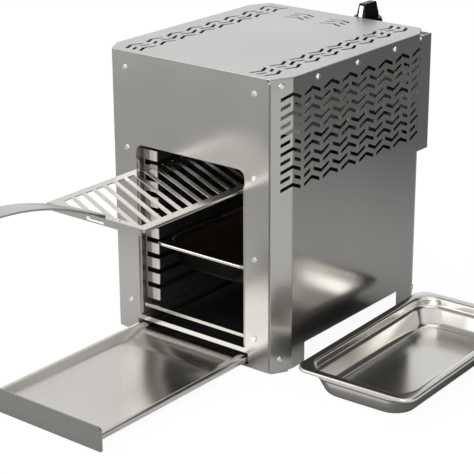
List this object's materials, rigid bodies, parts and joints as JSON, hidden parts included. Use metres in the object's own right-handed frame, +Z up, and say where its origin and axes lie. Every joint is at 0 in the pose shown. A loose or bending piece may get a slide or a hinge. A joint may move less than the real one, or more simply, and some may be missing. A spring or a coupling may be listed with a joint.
{
  "type": "gas infrared grill",
  "caption": "Top-heat gas infrared grill with a folded steel housing, ceramic burner, rack guides, slotted grate with lift-off handle, gastronorm pans and a drip drawer.",
  "frame": {"origin": "on the floor, below the middle of the front panel's outer face", "axes": "+X to the grill's right, +Y from the front panel to the rear, +Z up"},
  "size_m": [0.5239, 0.7755, 0.428],
  "materials": {
    "housing_steel": "satin, fine straight grain",
    "chamber_steel": "bright cold-rolled, slightly heat-tinted",
    "rack_steel": "bright cold-rolled",
    "drawer_steel": "satin",
    "grate_steel": "satin, cut edges",
    "pan_steel": "drawn, semi-bright",
    "screw_steel": "bright zinc",
    "burner_steel": "aluminised",
    "ceramic": "porous perforated ceramic",
    "gasket_fibre": "ceramic fibre",
    "brass": "machined",
    "aluminium_body": "die cast",
    "knob_plastic": "glossy black phenolic",
    "knob_chrome": "plated",
    "wire": "silicone sleeve",
    "module_plastic": "moulded"
  },
  "bodies": {
    "housing": {"baffle_plate": "burner_steel", "burner_bar_front": "burner_steel", "burner_bar_rear": "burner_steel", "burner_frame": "burner_steel", "burner_housing": "burner_steel", "ceramic_tiles": "ceramic", "chamber_shell": "chamber_steel", "corner_screws": "screw_steel", "electrode_insulator": "ceramic", "flame_probe": "burner_steel", "foot_front_left": "housing_steel", "foot_front_right": "housing_steel", "foot_rear_left": "housing_steel", "foot_rear_right": "housing_steel", "foot_screws": "screw_steel", "front_cross_bar": "chamber_steel", "front_panel": "housing_steel", "gas_jet": "brass", "gas_pipe": "aluminium_body", "heat_shield": "burner_steel", "inlet_fitting": "brass", "jet_holder": "brass", "knob_bezel": "knob_chrome", "lid": "housing_steel", "lid_screws": "screw_steel", "mantle": "housing_steel", "mixing_tube": "burner_steel", "panel_rivet_nuts": "screw_steel", "panel_screws": "screw_steel", "pipe_nuts": "brass", "probe_bracket": "burner_steel", "probe_lead": "aluminium_body", "rack_guide_left": "rack_steel", "rack_guide_right": "rack_steel", "rear_box": "housing_steel", "rear_box_screws": "screw_steel", "rear_spacers": "chamber_steel", "spark_electrode": "burner_steel", "spark_lead": "wire", "spark_module": "module_plastic", "supply_pipe": "aluminium_body", "tile_gasket": "gasket_fibre", "tray_runner_left": "chamber_steel", "tray_runner_right": "chamber_steel", "valve_body": "aluminium_body", "valve_nut": "brass"},
    "drawer": {"drip_tray": "drawer_steel", "drawer_front": "drawer_steel"},
    "grate": {"grate": "grate_steel", "handle_socket": "grate_steel", "socket_rivets": "screw_steel"},
    "lifting_handle": {"lifting_handle": "grate_steel"},
    "pan_inside": {"pan_inside": "pan_steel"},
    "pan_loose": {"pan_loose": "pan_steel"},
    "valve_plunger": {"valve_push_pin": "brass"},
    "knob": {"knob": "knob_plastic", "knob_inlay": "knob_chrome", "valve_spindle": "brass"}
  },
  "joints": [
    {"name": "drawer_slide", "type": "slide", "parent": "housing", "child": "drawer", "axis": [0, 1, 0], "range_m": [0, 0.2985]},
    {"name": "grate_slide", "type": "slide", "parent": "housing", "child": "grate", "axis": [0, 1, 0], "range_m": [-0.06, 0.187]},
    {"name": "handle_lift", "type": "slide", "parent": "grate", "child": "lifting_handle", "axis": [0, 0, 1], "range_m": [0, 0.022]},
    {"name": "pan_slide", "type": "slide", "parent": "housing", "child": "pan_inside", "axis": [0, -1, 0], "range_m": [0, 0.26]},
    {"name": "pan_lift", "type": "slide", "parent": "housing", "child": "pan_loose", "axis": [0, 0, 1], "range_m": [0, 0.08]},
    {"name": "knob_press", "type": "slide", "parent": "housing", "child": "valve_plunger", "axis": [0, 0, -1], "range_m": [0, 0.003], "stiffness_N_per_m": 900, "springref_m": -0.001},
    {"name": "knob_turn", "type": "hinge", "parent": "valve_plunger", "child": "knob", "pos_m": [0.027, 0.3765, 0.4], "axis": [0, 0, 1], "range_deg": [0, 210]}
  ]
}
